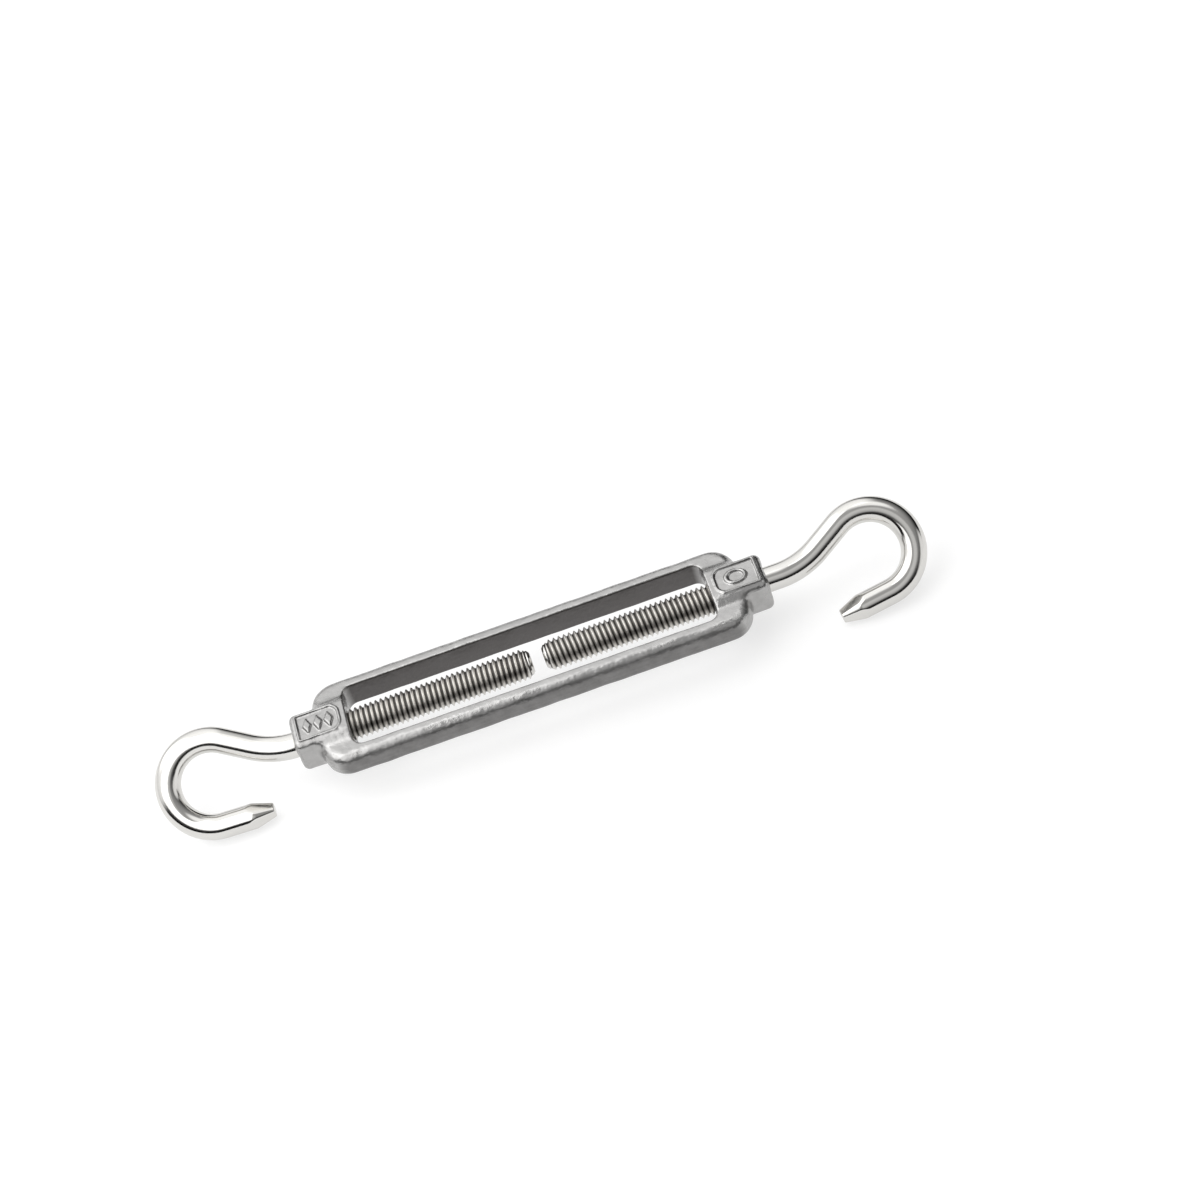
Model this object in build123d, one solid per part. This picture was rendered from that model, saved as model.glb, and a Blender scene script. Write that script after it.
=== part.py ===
from build123d import *
import math
import os

# Open-body rigging turnbuckle with two hooks, M6 size.
#
# Frame: the origin is the middle of the cast body, on the common axis of the two screws.
# +X runs along the screws towards the hook with the right-hand thread, +Y runs across the
# slot from one side bar to the other, and +Z is square to the marking pads of the bosses.
# All sizes are in millimetres. The two M6 threads are drawn plain: each screw is as thick
# as its crests, and each tapped hole is as wide as the roots of its own thread.

# ---- Cast body -------------------------------------------------------------------
BODY_LENGTH = 92.2        # over the outer ends of the two bosses
SLOT_LENGTH = 70.6        # the open window between the bosses
SLOT_WIDTH = 14.0         # between the inner faces of the side bars
SLOT_CORNER = 2.0         # radius in the four corners of the window
BAR_THICKNESS = 3.0       # side bar, across the slot
BAR_HEIGHT = 5.6          # side bar, along Z
BAR_OUTER_ROUND = 2.1     # rounded outer edges of the side bars
BAR_INNER_ROUND = 0.35    # broken inner edges of the window
SHOULDER_END = 41.6       # where the shoulders of the bars run into the bosses
SHOULDER_ROUND = 4.9      # radius of the shoulders, seen along Z
BOSS_WIDTH = 8.4          # boss across Y
BOSS_HEIGHT = 8.0         # boss along Z
BOSS_ROUND = 1.5          # rounded long edges of a boss
BOSS_END_ROUND = 0.6      # rounded outer end of a boss

# ---- Raised border of a marking pad ----------------------------------------------
PAD_LENGTH = 8.6
PAD_WIDTH = 6.4
PAD_CORNER = 2.2          # the two corners nearer the slot
PAD_BORDER = 0.45
PAD_RISE = 0.25
PAD_GAP = 1.1             # from the slot end to the border's round end

# ---- M6 screws and tapped holes --------------------------------------------------
CREST_R = 2.95            # outside of the screw's rolled thread
BORE_R = 3.05             # root of the thread in the tapped hole
MOUTH_R = 3.3             # countersink at each end of a tapped hole
MOUTH_DEPTH = 0.6

# ---- Hook: a bent rod, measured from the inner end of its screw ------------------
LEAD_LENGTH = 0.8         # plain chamfered point before the thread starts
LEAD_R = 2.35
LEAD_CHAMFER = 0.45
THREAD_END = 43.0
THREAD_RUN_OUT = 0.6      # slope at each end of the thread
ROD_R = 2.45
BEND_APEX = 50.5          # corner of the offset bend if it had no radius
BEND_R = 16.0
BOWL_CENTRE = (63.4, -1.6)
BOWL_R = 8.1              # to the middle of the rod
TIP_LENGTH = 5.2          # tapered four-sided point
TIP_FLATS = 2.25          # across the flats at the very end
TIP_END_R = 1.35
TIP_CORNER_R = 1.15 * ROD_R   # trims the corners of the point where its taper begins
HOOK_ROLL = 41.0          # plane of each hook, turned about X from the XY plane

# Each hook: the way it points, where its screw ends (its own way along X from the middle
# of the body), how far its tip is opened, and the straight part before the point.
HOOKS = {
    "right": {"way": 1, "inner_end": 2.45, "flare": 8.0, "straight": 4.9},
    "left": {"way": -1, "inner_end": -0.15, "flare": 2.0, "straight": 4.6},
}

BODY_WIDTH = SLOT_WIDTH + 2 * BAR_THICKNESS
BOSS_LENGTH = (BODY_LENGTH - SLOT_LENGTH) / 2
SLOT_END = SLOT_LENGTH / 2
BODY_END = BODY_LENGTH / 2
CLEARANCE = 1.0           # how far a cut runs past the faces that it opens
NEAR = 0.01               # tolerance when edges are picked by their place
ON_BASE = (Align.CENTER, Align.CENTER, Align.MIN)


def along_x(x, way):
    """Plane whose normal is +X or -X, with its origin on the axis at x."""
    return Plane(origin=(x, 0, 0), x_dir=(0, 1, 0), z_dir=(way, 0, 0))


# ---- Casting ---------------------------------------------------------------------
def pad_border():
    """Raised border of a marking pad: square at the boss end, round towards the slot.

    It is twice as deep as it stands proud, so that its lower half is sunk in the boss.
    """
    def panel(inset):
        start = SLOT_END + PAD_GAP + inset
        end = SLOT_END + PAD_GAP + PAD_LENGTH - inset
        blank = Pos((start + end) / 2, 0) * Rectangle(end - start, PAD_WIDTH - 2 * inset)
        return fillet(blank.vertices().group_by(Axis.X)[0], PAD_CORNER - inset)

    return extrude(panel(0) - panel(PAD_BORDER), 2 * PAD_RISE)


def window_edges(frame):
    """Edges round the window, on both flat faces of the frame."""
    edges = frame.faces().filter_by(Axis.Z).edges()
    return [
        edge for edge in edges
        if abs(edge.center().X) < SLOT_END + NEAR and abs(edge.center().Y) < SLOT_WIDTH / 2 + NEAR
    ]


def make_boss():
    """Square boss at the +X end, with its long edges and its outer end rounded."""
    block = Box(BOSS_LENGTH, BOSS_WIDTH, BOSS_HEIGHT)
    block = fillet(block.edges().filter_by(Axis.X), BOSS_ROUND)
    outer_end = block.faces().sort_by(Axis.X)[-1]
    block = fillet(outer_end.edges(), BOSS_END_ROUND)
    boss = Pos(SLOT_END + BOSS_LENGTH / 2, 0, 0) * block
    border = Pos(0, 0, BOSS_HEIGHT / 2 - PAD_RISE) * pad_border()
    return boss + border + Rot(180, 0, 0) * border


def make_tapped_hole():
    """What the hole takes out of the boss at the +X end, with a countersink at each end."""
    mouth = Cone(MOUTH_R, BORE_R, MOUTH_DEPTH, align=ON_BASE)
    through = Cylinder(BORE_R, BOSS_LENGTH + 2 * CLEARANCE, align=ON_BASE)
    hole = along_x(SLOT_END - CLEARANCE, 1) * through
    return hole + along_x(SLOT_END, 1) * mouth + along_x(BODY_END, -1) * mouth


def make_body():
    """One casting: two side bars, their shoulders and two tapped bosses."""
    outline = RectangleRounded(2 * SHOULDER_END, BODY_WIDTH, SHOULDER_ROUND)
    body = extrude(outline, BAR_HEIGHT / 2, both=True)
    body = fillet(body.faces().filter_by(Axis.Z).edges(), BAR_OUTER_ROUND)
    body -= extrude(RectangleRounded(SLOT_LENGTH, SLOT_WIDTH, SLOT_CORNER), BAR_HEIGHT, both=True)
    body = fillet(window_edges(body), BAR_INNER_ROUND)

    boss = make_boss()
    hole = make_tapped_hole()
    for turn in (0, 180):
        body += Rot(0, 0, turn) * boss
        body -= Rot(0, 0, turn) * hole
    return body


# ---- Hooks -----------------------------------------------------------------------
def hook_path(hook):
    """Middle line of the smooth rod, in the hook's plane, and the place of its point.

    The rod leaves the axis in an offset bend, runs straight to the bowl, goes round the
    bowl and ends in a short straight run that carries the tapered point.
    """
    bowl_x, bowl_y = BOWL_CENTRE
    reach = math.hypot(bowl_x - BEND_APEX, bowl_y)
    rise = math.degrees(math.asin(BOWL_R / reach) + math.atan2(bowl_y, bowl_x - BEND_APEX))
    bend_start = BEND_APEX - BEND_R * math.tan(math.radians(rise / 2))
    flare = hook["flare"]

    straight = Line((THREAD_END, 0), (bend_start, 0))
    bend = CenterArc((bend_start, BEND_R), BEND_R, -90, rise)
    bowl = CenterArc(BOWL_CENTRE, BOWL_R, 90 + rise, -(180 + rise - flare))
    slope = Line(bend @ 1, bowl @ 0)
    backwards = Vector(-math.cos(math.radians(flare)), -math.sin(math.radians(flare)))
    tail = Line(bowl @ 1, bowl @ 1 + backwards * hook["straight"])
    return Wire([straight, bend, slope, bowl, tail]), tail @ 1, backwards


def make_point():
    """Tapered four-sided end of the rod, along +Z from the XY plane."""
    taper = math.degrees(math.atan((ROD_R - TIP_FLATS / 2) / TIP_LENGTH))
    pyramid = extrude(Rot(0, 0, 45) * Rectangle(2 * ROD_R, 2 * ROD_R), TIP_LENGTH, taper=taper)
    trim = Cone(TIP_CORNER_R, TIP_END_R, TIP_LENGTH, align=ON_BASE)
    return pyramid & trim & Cylinder(ROD_R, TIP_LENGTH, align=ON_BASE)


def make_screw():
    """Threaded length of a hook along +Z, from the lead point to the smooth rod."""
    plain = THREAD_END - LEAD_LENGTH - 2 * THREAD_RUN_OUT
    screw = Cone(LEAD_R, CREST_R, THREAD_RUN_OUT, align=ON_BASE)
    screw += Pos(0, 0, THREAD_RUN_OUT) * Cylinder(CREST_R, plain, align=ON_BASE)
    return screw + Pos(0, 0, THREAD_RUN_OUT + plain) * Cone(CREST_R, ROD_R, THREAD_RUN_OUT, align=ON_BASE)


def make_hook(hook):
    """Hook with its screw, as one bent rod."""
    path, point_start, point_way = hook_path(hook)
    rod = sweep(along_x(THREAD_END, 1) * Circle(ROD_R), path=path)
    point = Plane(origin=point_start, x_dir=(0, 0, 1), z_dir=point_way) * make_point()
    screw = along_x(LEAD_LENGTH, 1) * make_screw()
    way = hook["way"]
    roll = math.radians(HOOK_ROLL)
    rolled = Plane(
        origin=(way * hook["inner_end"], 0, 0),
        x_dir=(way, 0, 0),
        z_dir=(0, -way * math.sin(roll), way * math.cos(roll)),
    )
    return rolled * (rod + point + screw)


def make_lead_point(hook):
    """Plain chamfered point in front of the thread."""
    point = Cone(LEAD_R - LEAD_CHAMFER, LEAD_R, LEAD_CHAMFER, align=ON_BASE)
    point += Pos(0, 0, LEAD_CHAMFER) * Cylinder(LEAD_R, LEAD_LENGTH - LEAD_CHAMFER, align=ON_BASE)
    return along_x(hook["way"] * hook["inner_end"], hook["way"]) * point


def main():
    os.makedirs("parts", exist_ok=True)
    parts = {"turnbuckle_body": make_body()}
    for side, hook in HOOKS.items():
        parts[side + "_hook"] = make_hook(hook)
        parts[side + "_lead_point"] = make_lead_point(hook)
    for node, shape in parts.items():
        solids = shape.solids()
        print(node, len(solids), "solid", round(shape.volume, 1), "mm3", shape.is_valid)
        export_step(solids[0], "parts/" + node + ".step")


main()
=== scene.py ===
import math

import bmesh
import bpy
import numpy as np
from mathutils import Matrix, Vector


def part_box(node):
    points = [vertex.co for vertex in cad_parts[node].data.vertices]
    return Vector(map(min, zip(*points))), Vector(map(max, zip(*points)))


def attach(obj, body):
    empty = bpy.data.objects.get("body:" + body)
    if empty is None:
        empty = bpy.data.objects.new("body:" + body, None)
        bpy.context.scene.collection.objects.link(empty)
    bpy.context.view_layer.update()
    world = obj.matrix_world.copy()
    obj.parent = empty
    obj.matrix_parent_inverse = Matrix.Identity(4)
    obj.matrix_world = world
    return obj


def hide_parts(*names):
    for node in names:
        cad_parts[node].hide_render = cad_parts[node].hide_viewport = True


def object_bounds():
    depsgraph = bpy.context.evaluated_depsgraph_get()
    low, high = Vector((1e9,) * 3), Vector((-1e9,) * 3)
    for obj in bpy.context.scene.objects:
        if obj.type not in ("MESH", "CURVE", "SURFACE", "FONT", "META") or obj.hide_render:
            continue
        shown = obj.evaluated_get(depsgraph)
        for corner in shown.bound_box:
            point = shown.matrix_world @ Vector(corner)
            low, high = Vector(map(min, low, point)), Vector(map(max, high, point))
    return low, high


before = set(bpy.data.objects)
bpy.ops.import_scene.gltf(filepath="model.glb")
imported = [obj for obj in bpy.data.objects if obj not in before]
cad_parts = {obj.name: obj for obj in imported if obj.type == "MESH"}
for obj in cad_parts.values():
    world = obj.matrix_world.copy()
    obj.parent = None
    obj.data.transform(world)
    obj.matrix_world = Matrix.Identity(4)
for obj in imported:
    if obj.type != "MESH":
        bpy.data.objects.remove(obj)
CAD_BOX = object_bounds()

MM = 0.001

# ---- Cast body, in millimetres ---------------------------------------------------
BODY_LOW, BODY_HIGH = (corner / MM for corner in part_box("turnbuckle_body"))
BODY_END = BODY_HIGH.x                 # outer end of a boss
PARTING_RIDGE = 0.07                   # how far the mould's parting line stands proud
PARTING_HALF_WIDTH = 0.28
WAVE = 0.017                           # height of the largest slow waves of the cast skin
WAVE_ROOM = 0.05                       # kept free for the waves inside the CAD box
BODY_HALF_WIDTH = BODY_HIGH.y - PARTING_RIDGE - WAVE_ROOM
SLOT_END = 35.3                        # inner end of a boss
SLOT_HALF_WIDTH = 7.0
SLOT_CORNER = 2.0
SHOULDER_END = 41.6
SHOULDER_ROUND = 4.9
BAR_HALF_HEIGHT = 2.8
BAR_OUTER_ROUND = 2.1
BAR_INNER_ROUND = 0.45
BOSS_HALF_WIDTH = 4.2
BOSS_HALF_HEIGHT = 4.0
BOSS_ROUND = 1.5
BOSS_END_ROUND = 1.25
BOSS_FILLET = 1.8                      # cast fillet where the boss meets the shoulders
BOSS_REACH = 3.0                       # the boss runs into the window this far, and is cut there
BORE_R = 3.08
MOUTH_R = 3.3
MOUTH_DEPTH = 0.6
MOUTH_ROUND = 0.12
PAD_START = SLOT_END + 1.1             # marking pad, from its round end
PAD_END = PAD_START + 8.6
PAD_HALF_WIDTH = 3.2
PAD_CORNER = 2.2                       # at the round end
PAD_SQUARE_CORNER = 0.4
PAD_STEP = 1.0                         # the square outline starts this far from the round end
PAD_BORDER = 0.45
PAD_TOP = BOSS_HALF_HEIGHT + 0.33      # top of border and ornaments, before it is rounded
PAD_TOP_ROUND = 0.45
PAD_ROOT = BOSS_HALF_HEIGHT - 0.6      # they start inside the boss
PAD_FLOOR = BOSS_HALF_HEIGHT - 0.22    # floor of the pad, below the boss round it
PAD_FLOOR_ROUND = 0.2
PAD_FOOT_ROUND = 0.12
LOZENGE_STEPS = (-2.1, 0.0, 2.1)       # middles of the three lozenges, along the pad
LOZENGE_SIDE = (1.35 / 1.49, 0.62 / 1.49)   # the way its sides face: along, across
LOZENGE_HALF = 0.78                    # from its middle to a side
RING_R = 1.45
RING_HALF_WIDTH = 0.28
RING_STRETCH = 1.25                    # the ring is longer than wide by this much
CELL = 0.22                            # grid spacing of the body's mesh
GRID_MARGIN = 0.6                      # the grid reaches this far past the body
PULLS = 6                              # times that its vertices are drawn to the surface
PULL_LIMIT = 0.5                       # furthest that one pull moves a vertex
MERGE = 1e-7                           # vertices nearer than this, in metres, are one

# ---- Hooks, in millimetres, measured from the inner end of the screw ----------------
PITCH = 1.0
CREST_R = 2.95
ROOT_R = 2.39
LEAD_LENGTH = 0.8
LEAD_R = 2.35
# Chamfered point in front of the thread: along, radius.
LEAD_OUTLINE = (
    (0.0, 1.75), (0.04, 1.86), (0.1, 1.94), (0.42, LEAD_R - 0.06), (0.5, LEAD_R), (LEAD_LENGTH, LEAD_R),
)
THREAD_END = 43.0
THREAD_FADE = 0.9                      # the thread dies out over this length
ROD_R = 2.45
BEND_APEX = 50.5
BEND_R = 16.0
BOWL_X, BOWL_Y = 63.4, -1.6
BOWL_R = 8.1
TIP_LENGTH = 5.2
TIP_HALF_FLAT = 1.125
TIP_CORNER_R = 1.15 * ROD_R            # trims the corners of the point where its taper begins
TIP_END_R = 1.35                       # and where it ends
TIP_CORNER_ROUND = 0.10
TIP_ROD_ROUND = 0.06                   # where the flats run out on the rod
TIP_CROWDING = 1.2                     # rings of the point stand closer at its start
TIP_DOME = 0.25                        # rounded end of the point
TIP_FACE = 0.72                        # its flat end, as a part of its size
HOOK_ROLL = math.radians(41.0)
HOOKS = {
    "right": {"way": 1, "flare": math.radians(8.0), "straight": 4.9},
    "left": {"way": -1, "flare": math.radians(2.0), "straight": 4.6},
}
AROUND = 72                            # vertices round a rod
STRAIGHT_RINGS = 6
BEND_RINGS = 14
BOWL_RINGS = 64
TIP_RINGS = 14
DOME_RINGS = 6

# Half of one turn of the rolled thread: part of a pitch from the crest, part of the depth
# that is left.
THREAD_PROFILE = (
    (0.0, 1.0), (0.045, 0.99), (0.08, 0.93), (0.16, 0.70), (0.25, 0.44), (0.34, 0.18),
    (0.39, 0.05), (0.44, 0.0), (0.5, 0.0),
)

# ---- Studio, in metres ----------------------------------------------------------------
PLAIN_WHITE = (1.0, 1.0, 1.0, 1.0)
VIEW_TILT = math.radians(41.0)         # from straight down, towards -Y
VIEW_ROLL = math.radians(19.3)
VIEW = Vector((0, -math.sin(VIEW_TILT), math.cos(VIEW_TILT)))
VIEW_UP = Vector((0, math.cos(VIEW_TILT), math.sin(VIEW_TILT)))
CAMERA_RIGHT = Vector((math.cos(VIEW_ROLL), 0, 0)) - math.sin(VIEW_ROLL) * VIEW_UP
CAMERA_UP = Vector((math.sin(VIEW_ROLL), 0, 0)) + math.cos(VIEW_ROLL) * VIEW_UP
VIEW_WIDTH = 0.222                     # seen across the frame, at the object
AIM = 0.01266 * CAMERA_RIGHT + 0.01150 * CAMERA_UP   # middle of the view, from the body's middle
CAMERA_TURN = Matrix((CAMERA_RIGHT, CAMERA_UP, VIEW)).transposed().to_4x4()
CAMERA_DISTANCE = 0.52
SENSOR = 36.0
CLIP_START, CLIP_END = 0.01, 10.0

FLOOR_HALF = 3.0
FLOOR_TONE = (0.4, 0.4, 0.4, 1.0)
FLOOR_GLOW = 0.63                      # the floor is a light table
SKY = (0.12, 0.9, 0.45)                # height where it begins, where it is full, and its strength
# Each panel of the tent: its direction (right, up, towards the camera), the angles in
# degrees at which it is at full strength and at which it ends, and its strength.
PANELS = (
    ((-0.6, 0.8, 0.1), 31, 50, 1.0),
    ((0.1, 0.75, 0.66), 8, 24, 0.9),
    ((0.1, -0.1, 1.0), 8, 24, 0.35),
    ((-0.95, 0.2, 0.25), 28, 44, 1.0),
    ((0.95, 0.0, 0.3), 14, 28, 1.0),
)
SOFTBOX_SIZE = (0.34, 0.42)            # beside the camera, over the left-hand hook
SOFTBOX_CENTRE = (-0.232, 0.05, 0.25)  # right, up and towards the camera
SOFTBOX_RADIANCE = 1.4

# ---- Finish of each metal ---------------------------------------------------------------
# Tones are the darkest and the lightest; noise scales are per metre; bumps are in metres.
CAST_TONES = ((0.30, 0.296, 0.292), (0.47, 0.466, 0.46))
SIDE_SHADE_TONES = ((0.12, 0.118, 0.116), (0.27, 0.266, 0.262))   # painted shade: darker tones for the outer sides of the bars
INNER_SHADE_TONE = (0.13, 0.124, 0.122)                            # painted shade: dark tone for the inner faces of the bars, in the slot
ROD_TONES = ((0.60, 0.59, 0.57), (0.70, 0.69, 0.665))
THREAD_TONES = ((0.62, 0.60, 0.57), (0.82, 0.80, 0.765))
# painted shade in the roots of the thread
THREAD_ROOT_SHADE = (0.07, 0.066, 0.062)
# Where the casting's painted shade and rougher skin begin and are full, in millimetres from the middle.
INNER_FACE = (SLOT_HALF_WIDTH + 0.18, SLOT_HALF_WIDTH + 0.06)
BESIDE_SCREW = (4.6, 5.2)
SHORT_OF_BOSS = (SLOT_END - 0.2, SLOT_END - 1.6)
OUTER_SIDE = (BODY_HALF_WIDTH - 0.9, BODY_HALF_WIDTH - 0.1)
THREAD_FLANK = (ROOT_R + 0.02, ROOT_R + 0.20)   # the painted shade of the roots fades out between these radii


# ---- Distance field of the casting --------------------------------------------------
def smooth_min(a, b, k):
    """The smaller of two distances, with a fillet of about k where they meet."""
    h = np.clip(0.5 + 0.5 * (b - a) / k, 0.0, 1.0)
    return b + (a - b) * h - k * h * (1.0 - h)


def smooth_max(a, b, k):
    """The larger of two distances, with its edge rounded by about k."""
    return -smooth_min(-a, -b, k)


def rounded_rectangle(x, y, half_x, half_y, r):
    """Distance to the outline of a rectangle with round corners."""
    dx = np.abs(x) - half_x + r
    dy = np.abs(y) - half_y + r
    outside = np.hypot(np.maximum(dx, 0), np.maximum(dy, 0))
    return outside + np.minimum(np.maximum(dx, dy), 0) - r


def rounded_prism(outline, height, r):
    """Distance to an outline given height, with its rims rounded."""
    dx = outline + r
    dy = height + r
    outside = np.hypot(np.maximum(dx, 0), np.maximum(dy, 0))
    return outside + np.minimum(np.maximum(dx, dy), 0) - r


def pad_outline(ax, y):
    """Marking pad seen from above: square at the boss end, round towards the slot."""
    middle = (PAD_START + PAD_END) / 2
    half = (PAD_END - PAD_START) / 2
    shift = PAD_STEP / 2
    square = rounded_rectangle(ax - middle - shift, y, half - shift, PAD_HALF_WIDTH, PAD_SQUARE_CORNER)
    round_end = rounded_rectangle(ax - middle + shift, y, half - shift, PAD_HALF_WIDTH, PAD_CORNER)
    return np.minimum(square, round_end)


def marks(x, y):
    """Plain raised ornaments in the pads: three lozenges on one boss, one ring on the other."""
    along = np.abs(x) - (PAD_START + PAD_END) / 2
    lozenges = np.minimum.reduce([
        np.abs(along - step) * LOZENGE_SIDE[0] + np.abs(y) * LOZENGE_SIDE[1] - LOZENGE_HALF
        for step in LOZENGE_STEPS
    ])
    ring = np.abs(np.hypot(along / RING_STRETCH, y) - RING_R) - RING_HALF_WIDTH
    return np.where(x < 0, lozenges, ring)


def casting_waves(x, y, z):
    """Slow unevenness of a cast and tumbled surface: the sum of four waves of unlike lengths."""
    wave = np.sin(0.61 * x + 1.1 * np.sin(0.37 * z + 0.23 * x) + 0.7 * y)
    wave += np.sin(0.83 * y - 0.41 * x + 1.7 * np.sin(0.29 * x) + 0.9)
    wave += 0.7 * np.sin(1.27 * x + 0.9 * z - 0.5 * y + 2.1)
    wave += 0.5 * np.sin(2.3 * z + 1.9 * y - 0.7 * x + 0.4)
    return WAVE * wave


def casting(p):
    """Signed distance, in millimetres, to the body's surface."""
    x, y, z = p[:, 0], p[:, 1], p[:, 2]
    ax, ay, az = np.abs(x), np.abs(y), np.abs(z)
    outline = rounded_rectangle(x, y, SHOULDER_END, BODY_HALF_WIDTH, SHOULDER_ROUND)
    parting = PARTING_RIDGE * np.exp(-((z / PARTING_HALF_WIDTH) ** 2))
    plate = rounded_prism(outline - parting, az - BAR_HALF_HEIGHT, BAR_OUTER_ROUND)

    boss_start = SLOT_END - BOSS_REACH
    boss_middle = (boss_start + BODY_END) / 2
    boss_half = (BODY_END - boss_start) / 2
    across = rounded_rectangle(y, z, BOSS_HALF_WIDTH, BOSS_HALF_HEIGHT, BOSS_ROUND)
    boss = rounded_prism(across, np.abs(ax - boss_middle) - boss_half, BOSS_END_ROUND)

    pad = pad_outline(ax, y)
    pocket = np.maximum(pad + PAD_BORDER, PAD_FLOOR - az)
    boss = smooth_max(boss, -pocket, PAD_FLOOR_ROUND)
    border = np.abs(pad + PAD_BORDER / 2) - PAD_BORDER / 2
    relief = np.minimum(border, marks(x, y))
    raised = smooth_max(relief, az - PAD_TOP, PAD_TOP_ROUND)
    raised = np.maximum(raised, PAD_ROOT - az)
    boss = smooth_min(boss, raised, PAD_FOOT_ROUND)

    solid = smooth_min(plate, boss, BOSS_FILLET) + casting_waves(x, y, z)
    window = rounded_rectangle(x, y, SLOT_END, SLOT_HALF_WIDTH, SLOT_CORNER)
    solid = smooth_max(solid, -window, BAR_INNER_ROUND)

    radius = np.hypot(y, z)
    bore = radius - BORE_R
    from_mouth = np.minimum(np.abs(ax - SLOT_END), np.abs(BODY_END - ax))
    countersink = radius - MOUTH_R + (MOUTH_R - BORE_R) * np.clip(from_mouth / MOUTH_DEPTH, 0, 1)
    return smooth_max(solid, -np.minimum(bore, countersink), MOUTH_ROUND)


def surface_net(field, low, high, cell):
    """Closed quad mesh where the field crosses zero, one vertex in each crossed cell.

    The field is sampled at the corners of a grid. Each grid edge whose ends lie on different
    sides of the surface gets a quad between the four cells round it.
    """
    low = np.array(low, float)
    counts = np.ceil((np.array(high) - low) / cell).astype(int) + 1
    axes = [low[i] + cell * np.arange(counts[i]) for i in range(3)]
    grid = np.empty(counts)
    for i, x in enumerate(axes[0]):
        yy, zz = np.meshgrid(axes[1], axes[2], indexing="ij")
        points = np.stack([np.full(yy.size, x), yy.ravel(), zz.ravel()], 1)
        grid[i] = field(points).reshape(yy.shape)
    inside = grid < 0

    corners = np.zeros(counts - 1, int)
    for offset in np.ndindex(2, 2, 2):
        window = tuple(slice(o, n - 1 + o) for o, n in zip(offset, counts))
        corners += inside[window]
    crossed = (corners > 0) & (corners < 8)
    number = np.full(counts - 1, -1)
    number[crossed] = np.arange(crossed.sum())
    points = low + cell * (np.argwhere(crossed) + 0.5)
    for _ in range(PULLS):
        points -= pull(field, points, cell * 0.05)

    quads = []
    for axis in range(3):
        other, third = (axis + 1) % 3, (axis + 2) % 3
        lower = [slice(1, n - 1) for n in counts]
        upper = [slice(1, n - 1) for n in counts]
        lower[axis] = slice(0, counts[axis] - 1)
        upper[axis] = slice(1, counts[axis])
        a, b = inside[tuple(lower)], inside[tuple(upper)]
        for leaving in (True, False):
            where = np.argwhere((a & ~b) if leaving else (~a & b))
            where[:, other] += 1
            where[:, third] += 1
            ring = []
            for step in ((0, 0), (1, 0), (1, 1), (0, 1)):
                at = where.copy()
                at[:, other] -= step[0]
                at[:, third] -= step[1]
                ring.append(number[tuple(at.T)])
            quad = np.stack(ring, 1)
            quads.append(quad if leaving else quad[:, ::-1])
    return points, np.concatenate(quads)


def pull(field, points, step):
    """Move that takes each point off the surface, along the field's gradient over step."""
    value = field(points)
    gradient = np.empty_like(points)
    for axis in range(3):
        offset = np.zeros(3)
        offset[axis] = step
        gradient[:, axis] = (field(points + offset) - field(points - offset)) / (2 * step)
    size = np.maximum((gradient ** 2).sum(1), 0.25)   # kept off zero where the field is flat
    return gradient * np.clip(value / size, -PULL_LIMIT, PULL_LIMIT)[:, None]


def new_piece(name, vertices_mm, faces, body, material):
    """Smooth-shaded mesh object that rides on a CAD body."""
    mesh = bpy.data.meshes.new(name)
    mesh.from_pydata((np.asarray(vertices_mm) * MM).tolist(), [], [list(f) for f in faces])
    mesh.validate()
    tidy = bmesh.new()
    tidy.from_mesh(mesh)
    bmesh.ops.remove_doubles(tidy, verts=tidy.verts, dist=MERGE)
    bmesh.ops.dissolve_degenerate(tidy, edges=tidy.edges, dist=MERGE)
    bmesh.ops.recalc_face_normals(tidy, faces=tidy.faces)
    tidy.to_mesh(mesh)
    tidy.free()
    mesh.shade_smooth()
    mesh.materials.append(material)
    piece = bpy.data.objects.new(name, mesh)
    bpy.context.collection.objects.link(piece)
    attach(piece, body)
    return piece


# ---- Bent rods ----------------------------------------------------------------------
def hook_line(hook):
    """Points and directions along the middle of the smooth rod, in the hook's plane.

    Also where its point starts, and the way that the point goes.
    """
    reach = math.hypot(BOWL_X - BEND_APEX, BOWL_Y)
    rise = math.asin(BOWL_R / reach) + math.atan2(BOWL_Y, BOWL_X - BEND_APEX)
    bend_start = BEND_APEX - BEND_R * math.tan(rise / 2)
    line = []

    def straight(start, end, count):
        way = (end - start).normalized()
        for i in range(count):
            line.append((start.lerp(end, i / count), way))

    def arc(centre, radius, begin, sweep, count):
        for i in range(count):
            angle = begin + sweep * i / count
            out = Vector((math.cos(angle), math.sin(angle)))
            along = Vector((-out.y, out.x)) * math.copysign(1, sweep)
            line.append((centre + out * radius, along))

    straight(Vector((THREAD_END, 0)), Vector((bend_start, 0)), STRAIGHT_RINGS)
    arc(Vector((bend_start, BEND_R)), BEND_R, -math.pi / 2, rise, BEND_RINGS)
    bend_end = Vector((bend_start + BEND_R * math.sin(rise), BEND_R * (1 - math.cos(rise))))
    bowl = Vector((BOWL_X, BOWL_Y))
    bowl_start = bowl + BOWL_R * Vector((-math.sin(rise), math.cos(rise)))
    straight(bend_end, bowl_start, STRAIGHT_RINGS)
    arc(bowl, BOWL_R, math.pi / 2 + rise, -(math.pi + rise - hook["flare"]), BOWL_RINGS)
    back = Vector((-math.cos(hook["flare"]), -math.sin(hook["flare"])))
    bowl_end = bowl + BOWL_R * Vector((math.sin(hook["flare"]), -math.cos(hook["flare"])))
    tip_start = bowl_end + back * hook["straight"]
    straight(bowl_end, tip_start, STRAIGHT_RINGS)
    return line, tip_start, back


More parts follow.
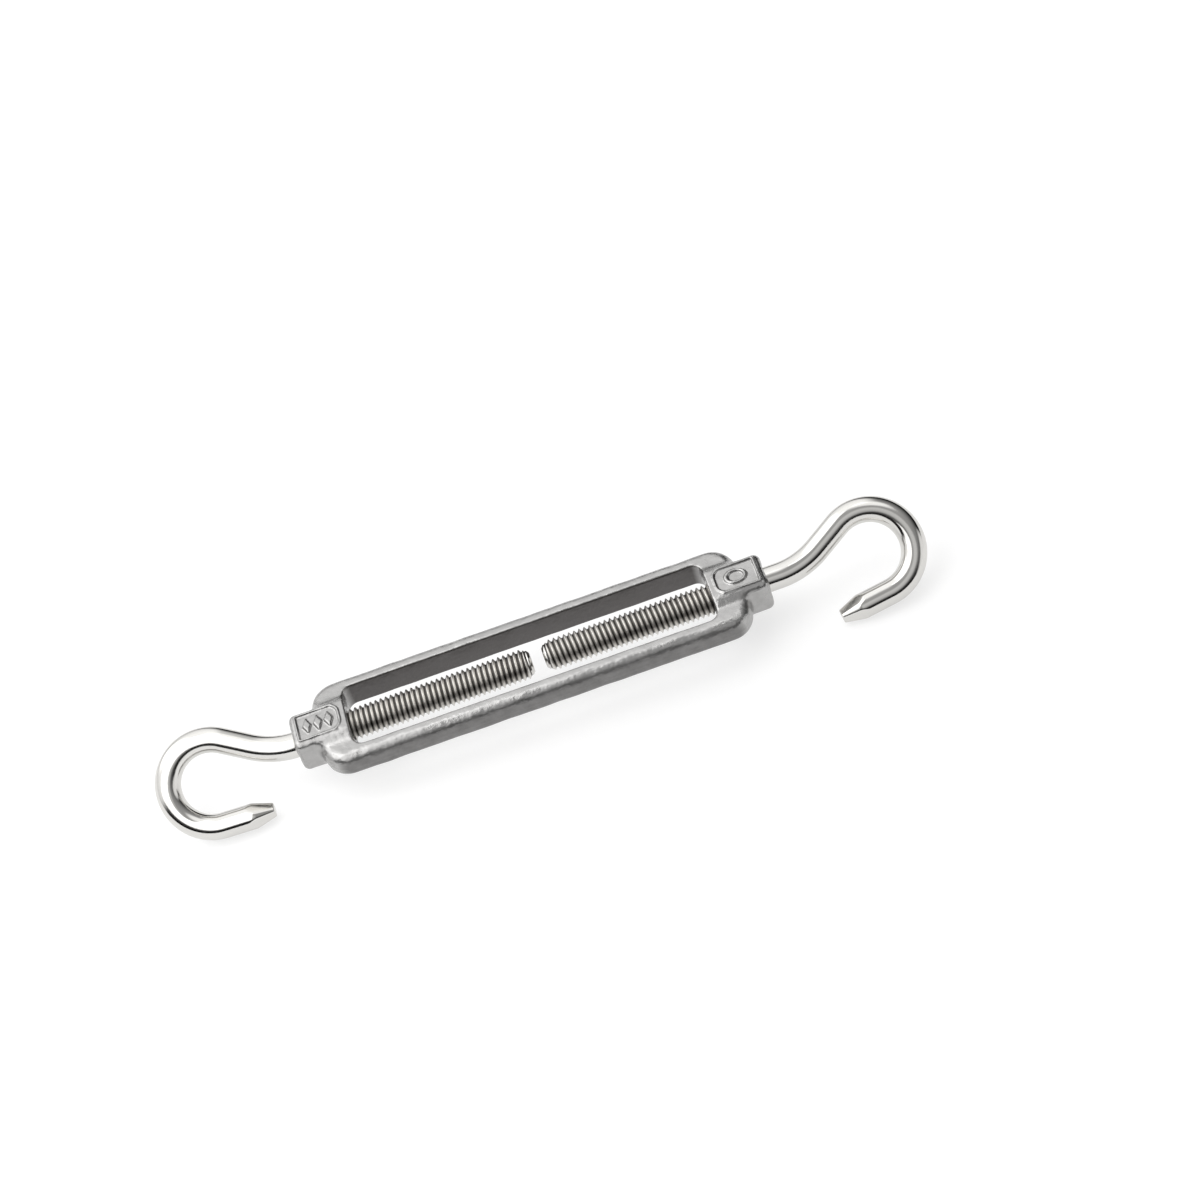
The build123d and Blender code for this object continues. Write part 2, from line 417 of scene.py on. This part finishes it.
def tip_radius(along, angle):
    """Radius of the pinched point: a rod, four flats closing on it, and trimmed corners."""
    half_flat = ROD_R + (TIP_HALF_FLAT - ROD_R) * along
    turned = np.abs(angle % (math.pi / 2) - math.pi / 4)
    flat = half_flat / np.cos(turned)
    cone = TIP_CORNER_R + (TIP_END_R - TIP_CORNER_R) * along
    trimmed = smooth_min(flat, np.full_like(flat, cone), TIP_CORNER_ROUND)
    return smooth_min(trimmed, np.full_like(flat, ROD_R), TIP_ROD_ROUND)


def thread_rows(handed):
    """Rows of the threaded length, sampled along the helix: (along, radius) of every vertex.

    The rows start a turn early and end two turns late, so that each column reaches both ends.
    """
    falling = THREAD_PROFILE
    rising = [(1 - phase, depth) for phase, depth in THREAD_PROFILE[-2:0:-1]]
    turn_part = np.arange(AROUND) / AROUND
    turns = int((THREAD_END - LEAD_LENGTH) / PITCH) + 3
    rows = []
    for turn in range(-1, turns):
        for phase, depth in (*falling, *rising):
            along = LEAD_LENGTH + PITCH * (turn + phase + handed * turn_part)
            along = np.clip(along, LEAD_LENGTH, THREAD_END)
            radius = np.full(AROUND, ROOT_R + (CREST_R - ROOT_R) * depth)
            radius = np.minimum(radius, LEAD_R + along - LEAD_LENGTH)
            fade = np.clip((THREAD_END - along) / THREAD_FADE, 0, 1)
            rows.append((along, ROD_R + (radius - ROD_R) * fade))
    return rows, len(falling) + len(rising)


def thread_faces(row_count, rows_per_turn, handed):
    """Quads of the threaded length. The last column meets the first one a whole turn on."""
    faces = []
    for row in range(row_count - 1):
        for column in range(AROUND):
            beside = row if column < AROUND - 1 else row + handed * rows_per_turn
            if not 0 <= beside < row_count - 1:
                continue
            after = (column + 1) % AROUND
            faces.append((
                row * AROUND + column, beside * AROUND + after,
                (beside + 1) * AROUND + after, (row + 1) * AROUND + column,
            ))
    return faces


def ring_faces(first_rings):
    """Quads between rings of AROUND vertices, given the index at which each ring starts."""
    faces = []
    for ring, following in zip(first_rings, first_rings[1:]):
        for column in range(AROUND):
            after = (column + 1) % AROUND
            faces.append((ring + column, ring + after, following + after, following + column))
    return faces


def hook_mesh(hook):
    """Vertices (along, up, side) and faces of a threaded, bent and pointed rod."""
    angle = 2 * math.pi * np.arange(AROUND) / AROUND
    rows, rows_per_turn = thread_rows(hook["way"])
    vertices = [np.stack([along, r * np.cos(angle), r * np.sin(angle)], 1) for along, r in rows]
    faces = thread_faces(len(rows), rows_per_turn, hook["way"])

    line, tip_start, back = hook_line(hook)
    rings = [(point, way, np.full(AROUND, ROD_R)) for point, way in line]
    taper = TIP_LENGTH - TIP_DOME
    for step in range(TIP_RINGS + 1):
        part = (step / TIP_RINGS) ** TIP_CROWDING
        rings.append((tip_start + back * taper * part, back, tip_radius(part, angle)))
    last = tip_radius(1.0, angle)
    for step in range(1, DOME_RINGS):
        turn = step / DOME_RINGS * math.pi / 2
        size = TIP_FACE + (1 - TIP_FACE) * math.cos(turn)
        rings.append((tip_start + back * (taper + TIP_DOME * math.sin(turn)), back, last * size))
    starts = []
    for point, way, radius in rings:
        starts.append(len(vertices) * AROUND)
        up = np.array([-way.y, way.x])
        flat = np.array([point.x, point.y]) + (radius * np.cos(angle))[:, None] * up
        vertices.append(np.column_stack([flat, radius * np.sin(angle)]))
    faces += ring_faces(starts)
    faces.append(tuple(range(starts[-1], starts[-1] + AROUND)))
    faces.append(tuple(reversed(range(AROUND))))
    return np.concatenate(vertices), faces


def lead_mesh():
    """Vertices and faces of the chamfered point in front of the thread."""
    angle = 2 * math.pi * np.arange(AROUND) / AROUND
    vertices = [
        np.column_stack([np.full(AROUND, along), r * np.cos(angle), r * np.sin(angle)])
        for along, r in LEAD_OUTLINE
    ]
    starts = [ring * AROUND for ring in range(len(LEAD_OUTLINE))]
    faces = ring_faces(starts)
    faces.append(tuple(reversed(range(AROUND))))
    faces.append(tuple(range(starts[-1], starts[-1] + AROUND)))
    return np.concatenate(vertices), faces


def rod_frame(hook, inner_end):
    """Turns (along, hook plane's up, square to the plane) into the row's frame, in mm."""
    way = hook["way"]
    along = np.array([way, 0.0, 0.0])
    up = np.array([0.0, math.cos(HOOK_ROLL), math.sin(HOOK_ROLL)])
    side = np.cross(along, up)
    origin = np.array([inner_end, 0.0, 0.0])

    def place(points):
        points = np.asarray(points)
        return origin + points[:, :1] * along + points[:, 1:2] * up + points[:, 2:3] * side

    return place


# ---- Materials ------------------------------------------------------------------------
def steel(name, build):
    """Metallic material whose colour, roughness and bump come from the given node builder."""
    material = bpy.data.materials.new(name)
    material.use_nodes = True
    nodes = material.node_tree.nodes
    shader = nodes["Principled BSDF"]
    shader.inputs["Metallic"].default_value = 1.0
    build(nodes, material.node_tree.links, shader)
    return material


def noise(nodes, links, place, scale, detail, roughness=0.5):
    """Noise in the piece's own frame; scale is per metre."""
    texture = nodes.new("ShaderNodeTexNoise")
    texture.inputs["Scale"].default_value = scale
    texture.inputs["Detail"].default_value = detail
    texture.inputs["Roughness"].default_value = roughness
    links.new(place.outputs["Object"], texture.inputs["Vector"])
    return texture.outputs["Fac"]


def remap(nodes, links, source, low, high, from_low=0.3, from_high=0.7):
    """Goes from low to high as the source does, from the middle part of a noise unless told."""
    ramp = nodes.new("ShaderNodeMapRange")
    ramp.inputs["From Min"].default_value = from_low
    ramp.inputs["From Max"].default_value = from_high
    ramp.inputs["To Min"].default_value = low
    ramp.inputs["To Max"].default_value = high
    links.new(source, ramp.inputs["Value"])
    return ramp.outputs["Result"]


def zone(nodes, links, distance, bounds):
    """Goes from 0 to 1 as the distance passes from the first to the second of the bounds, in mm."""
    begin, full = bounds
    return remap(nodes, links, distance, 0.0, 1.0, begin * MM, full * MM)


def bump(nodes, links, height, distance, strength, below=None):
    """Normal for a height; distance is in metres. A bump given as below stays under it."""
    node = nodes.new("ShaderNodeBump")
    node.inputs["Strength"].default_value = strength
    node.inputs["Distance"].default_value = distance
    links.new(height, node.inputs["Height"])
    if below is not None:
        links.new(below, node.inputs["Normal"])
    return node.outputs["Normal"]


def blend(nodes, links, factor, first, second):
    """Colour from first to second as the factor goes from 0 to 1. Each is a tone or a socket."""
    mix = nodes.new("ShaderNodeMix")
    mix.data_type = "RGBA"
    links.new(factor, mix.inputs["Factor"])
    for side, colour in (("A", first), ("B", second)):
        if isinstance(colour, tuple):
            mix.inputs[side].default_value = (*colour, 1.0)
        else:
            links.new(colour, mix.inputs[side])
    return mix.outputs["Result"]


def absolute_axis(nodes, links, place, axis):
    """Distance from the middle of the piece along one axis, in metres."""
    split = nodes.new("ShaderNodeSeparateXYZ")
    links.new(place.outputs["Object"], split.inputs["Vector"])
    positive = nodes.new("ShaderNodeMath")
    positive.operation = "ABSOLUTE"
    links.new(split.outputs[axis], positive.inputs[0])
    return positive.outputs["Value"]


def multiply(nodes, links, first, second):
    """Product of two sockets."""
    node = nodes.new("ShaderNodeMath")
    node.operation = "MULTIPLY"
    links.new(first, node.inputs[0])
    links.new(second, node.inputs[1])
    return node.outputs["Value"]


def add_share(nodes, links, base, source, share):
    """The base with a fixed share of the source added."""
    node = nodes.new("ShaderNodeMath")
    node.operation = "MULTIPLY_ADD"
    links.new(source, node.inputs[0])
    node.inputs[1].default_value = share
    links.new(base, node.inputs[2])
    return node.outputs["Value"]


def cast_steel():
    """Tumbled casting: satin and pitted, and rougher in the slot and on the outer sides, where painted
    shade also darkens its colour.
    """
    def build(nodes, links, shader):
        place = nodes.new("ShaderNodeTexCoord")
        slow = noise(nodes, links, place, 160.0, 3.0)
        lumps = noise(nodes, links, place, 800.0, 2.0)
        grain = noise(nodes, links, place, 1500.0, 4.0, 0.6)
        scuffs = noise(nodes, links, place, 430.0, 5.0, 0.65)
        pits = nodes.new("ShaderNodeTexVoronoi")
        pits.inputs["Scale"].default_value = 900.0
        links.new(place.outputs["Object"], pits.inputs["Vector"])

        from_axis = absolute_axis(nodes, links, place, "Y")
        from_middle = absolute_axis(nodes, links, place, "X")
        side = zone(nodes, links, from_axis, OUTER_SIDE)
        inner_face = zone(nodes, links, from_axis, INNER_FACE)
        beside_screw = zone(nodes, links, from_axis, BESIDE_SCREW)
        short_of_boss = zone(nodes, links, from_middle, SHORT_OF_BOSS)
        in_slot = multiply(nodes, links, inner_face, beside_screw)
        inside = multiply(nodes, links, in_slot, short_of_boss)

        tumbled = blend(nodes, links, scuffs, *CAST_TONES)
        # painted shade: the outer sides of the bars take darker tones than the rest of the casting
        painted_side_shade = blend(nodes, links, scuffs, *SIDE_SHADE_TONES)
        outer = blend(nodes, links, side, tumbled, painted_side_shade)
        # painted shade: the inner faces of the bars in the slot take a dark tone
        links.new(blend(nodes, links, inside, outer, INNER_SHADE_TONE), shader.inputs["Base Color"])

        gloss = remap(nodes, links, slow, 0.22, 0.34)
        duller_inside = add_share(nodes, links, gloss, inside, 0.12)
        duller_side = add_share(nodes, links, duller_inside, side, 0.14)
        links.new(duller_side, shader.inputs["Roughness"])

        lumpy = bump(nodes, links, lumps, 0.00022, 0.7)
        uneven = bump(nodes, links, scuffs, 0.00008, 0.6, lumpy)
        rough = bump(nodes, links, grain, 0.00002, 0.5, uneven)
        pitted = remap(nodes, links, pits.outputs["Distance"], 0.0, 1.0, 0.0, 0.22)
        links.new(bump(nodes, links, pitted, 0.00002, 0.3, rough), shader.inputs["Normal"])

    return steel("cast_steel", build)


def polished_rod():
    """Bright rod, polished by hand, with slow waves and fine lines in its surface."""
    def build(nodes, links, shader):
        place = nodes.new("ShaderNodeTexCoord")
        slow = noise(nodes, links, place, 140.0, 2.0)
        fine = noise(nodes, links, place, 2400.0, 3.0, 0.6)
        links.new(remap(nodes, links, slow, 0.08, 0.16), shader.inputs["Roughness"])
        links.new(blend(nodes, links, slow, *ROD_TONES), shader.inputs["Base Color"])
        wave = bump(nodes, links, slow, 0.00006, 0.35)
        links.new(bump(nodes, links, fine, 0.00001, 0.2, wave), shader.inputs["Normal"])

    return steel("polished_rod", build)


def rolled_thread():
    """Thread as it left the rolling dies: duller than the polished rod, with painted shade darkening
    its roots.
    """
    def build(nodes, links, shader):
        place = nodes.new("ShaderNodeTexCoord")
        slow = noise(nodes, links, place, 260.0, 3.0)
        fine = noise(nodes, links, place, 2600.0, 3.0, 0.6)
        links.new(remap(nodes, links, slow, 0.28, 0.40), shader.inputs["Roughness"])
        across = nodes.new("ShaderNodeVectorMath")
        across.operation = "MULTIPLY"
        across.inputs[1].default_value = (0.0, 1.0, 1.0)
        links.new(place.outputs["Object"], across.inputs[0])
        radius = nodes.new("ShaderNodeVectorMath")
        radius.operation = "LENGTH"
        links.new(across.outputs["Vector"], radius.inputs[0])
        crest = zone(nodes, links, radius.outputs["Value"], THREAD_FLANK)
        tone = blend(nodes, links, slow, *THREAD_TONES)
        # painted shade: the thread's roots take a dark tone, by their distance from the axis
        links.new(blend(nodes, links, crest, THREAD_ROOT_SHADE, tone), shader.inputs["Base Color"])
        links.new(bump(nodes, links, fine, 0.00001, 0.4), shader.inputs["Normal"])

    return steel("rolled_thread", build)


# ---- Pieces -------------------------------------------------------------------------
def make_pieces():
    """The casting, and at each end a bent hook and the chamfered point of its screw."""
    cast = cast_steel()
    rod = polished_rod()
    thread = rolled_thread()
    low = np.array(BODY_LOW) - GRID_MARGIN
    high = np.array(BODY_HIGH) + GRID_MARGIN
    vertices, quads = surface_net(casting, low, high, CELL)
    body = new_piece("turnbuckle_casting", vertices, quads.tolist(), "body", cast)
    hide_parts("turnbuckle_body")

    for side, hook in HOOKS.items():
        low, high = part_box(side + "_lead_point")
        inner_end = (low.x if hook["way"] > 0 else high.x) / MM
        place = rod_frame(hook, inner_end)
        vertices, faces = hook_mesh(hook)
        bent = new_piece(side + "_bent_hook", place(vertices), faces, side + "_hook", rod)
        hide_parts(side + "_hook")
        bent.data.materials.append(thread)
        threaded = inner_end + hook["way"] * (THREAD_END - THREAD_FADE)
        for face in bent.data.polygons:
            face.material_index = int(hook["way"] * (threaded * MM - face.center.x) > 0)
        vertices, faces = lead_mesh()
        travel = side + "_screw_travel"
        lead = new_piece(side + "_screw_point", place(vertices), faces, travel, rod)
        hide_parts(side + "_lead_point")


# ---- Floor, light and camera ----------------------------------------------------------
def make_floor():
    """Pale flat floor at the lowest point of the object, glowing like a light table."""
    z = CAD_BOX[0][2]
    mesh = bpy.data.meshes.new("floor")
    corners = [(x * FLOOR_HALF, y * FLOOR_HALF, z) for x, y in ((-1, -1), (1, -1), (1, 1), (-1, 1))]
    mesh.from_pydata(corners, [], [(0, 1, 2, 3)])
    floor = bpy.data.objects.new("floor", mesh)
    bpy.context.collection.objects.link(floor)
    material = bpy.data.materials.new("floor")
    material.use_nodes = True
    shader = material.node_tree.nodes["Principled BSDF"]
    shader.inputs["Base Color"].default_value = FLOOR_TONE
    shader.inputs["Roughness"].default_value = 0.9
    shader.inputs["Specular IOR Level"].default_value = 0.2
    shader.inputs["Emission Color"].default_value = PLAIN_WHITE
    shader.inputs["Emission Strength"].default_value = FLOOR_GLOW
    mesh.materials.append(material)


def seen_from_camera(right, up, towards):
    """Vector given by its parts to the right, up and towards the camera."""
    return right * CAMERA_RIGHT + up * CAMERA_UP + towards * VIEW


def make_light():
    """Light tent: soft bright panels with darker gaps between them.

    The world lights the object by these panels, and shows plain white to the camera itself.
    """
    world = bpy.data.worlds.new("studio")
    world.use_nodes = True
    nodes = world.node_tree.nodes
    links = world.node_tree.links
    background = nodes["Background"]
    background.inputs["Color"].default_value = PLAIN_WHITE
    place = nodes.new("ShaderNodeTexCoord")

    def ramp(axis, begin, full, strength):
        along = nodes.new("ShaderNodeVectorMath")
        along.operation = "DOT_PRODUCT"
        along.inputs[1].default_value = axis
        links.new(place.outputs["Generated"], along.inputs[0])
        edge = nodes.new("ShaderNodeMapRange")
        edge.interpolation_type = "SMOOTHSTEP"
        edge.inputs["From Min"].default_value = begin
        edge.inputs["From Max"].default_value = full
        edge.inputs["To Max"].default_value = strength
        links.new(along.outputs["Value"], edge.inputs["Value"])
        return edge.outputs["Result"]

    total = ramp((0, 0, 1), *SKY)
    for axis, full, end, strength in PANELS:
        towards = seen_from_camera(*axis).normalized()
        panel = ramp(towards, math.cos(math.radians(end)), math.cos(math.radians(full)), strength)
        plus = nodes.new("ShaderNodeMath")
        links.new(total, plus.inputs[0])
        links.new(panel, plus.inputs[1])
        total = plus.outputs["Value"]
    lit = nodes.new("ShaderNodeMix")
    lit.inputs["B"].default_value = 1.0
    links.new(nodes.new("ShaderNodeLightPath").outputs["Is Camera Ray"], lit.inputs["Factor"])
    links.new(total, lit.inputs["A"])
    links.new(lit.outputs["Result"], background.inputs["Strength"])
    bpy.context.scene.world = world


def make_softbox():
    """Soft light close to the left-hand end, just outside the camera's view."""
    light = bpy.data.lights.new("softbox", "AREA")
    light.shape = "RECTANGLE"
    light.size, light.size_y = SOFTBOX_SIZE
    light.energy = SOFTBOX_RADIANCE * math.pi * light.size * light.size_y
    lamp = bpy.data.objects.new("softbox", light)
    lamp.matrix_world = Matrix.Translation(AIM + seen_from_camera(*SOFTBOX_CENTRE)) @ CAMERA_TURN
    lamp.visible_camera = False
    bpy.context.collection.objects.link(lamp)


def make_camera():
    """Camera over the front side of the object, with the photo's tilt and roll."""
    camera = bpy.data.cameras.new("camera")
    camera.sensor_width = SENSOR
    camera.lens = SENSOR * CAMERA_DISTANCE / VIEW_WIDTH
    camera.clip_start = CLIP_START
    camera.clip_end = CLIP_END
    holder = bpy.data.objects.new("camera", camera)
    holder.matrix_world = Matrix.Translation(AIM + VIEW * CAMERA_DISTANCE) @ CAMERA_TURN
    bpy.context.collection.objects.link(holder)
    bpy.context.scene.camera = holder


make_pieces()
make_floor()
make_light()
make_softbox()
make_camera()
bpy.context.scene.view_settings.view_transform = "Standard"
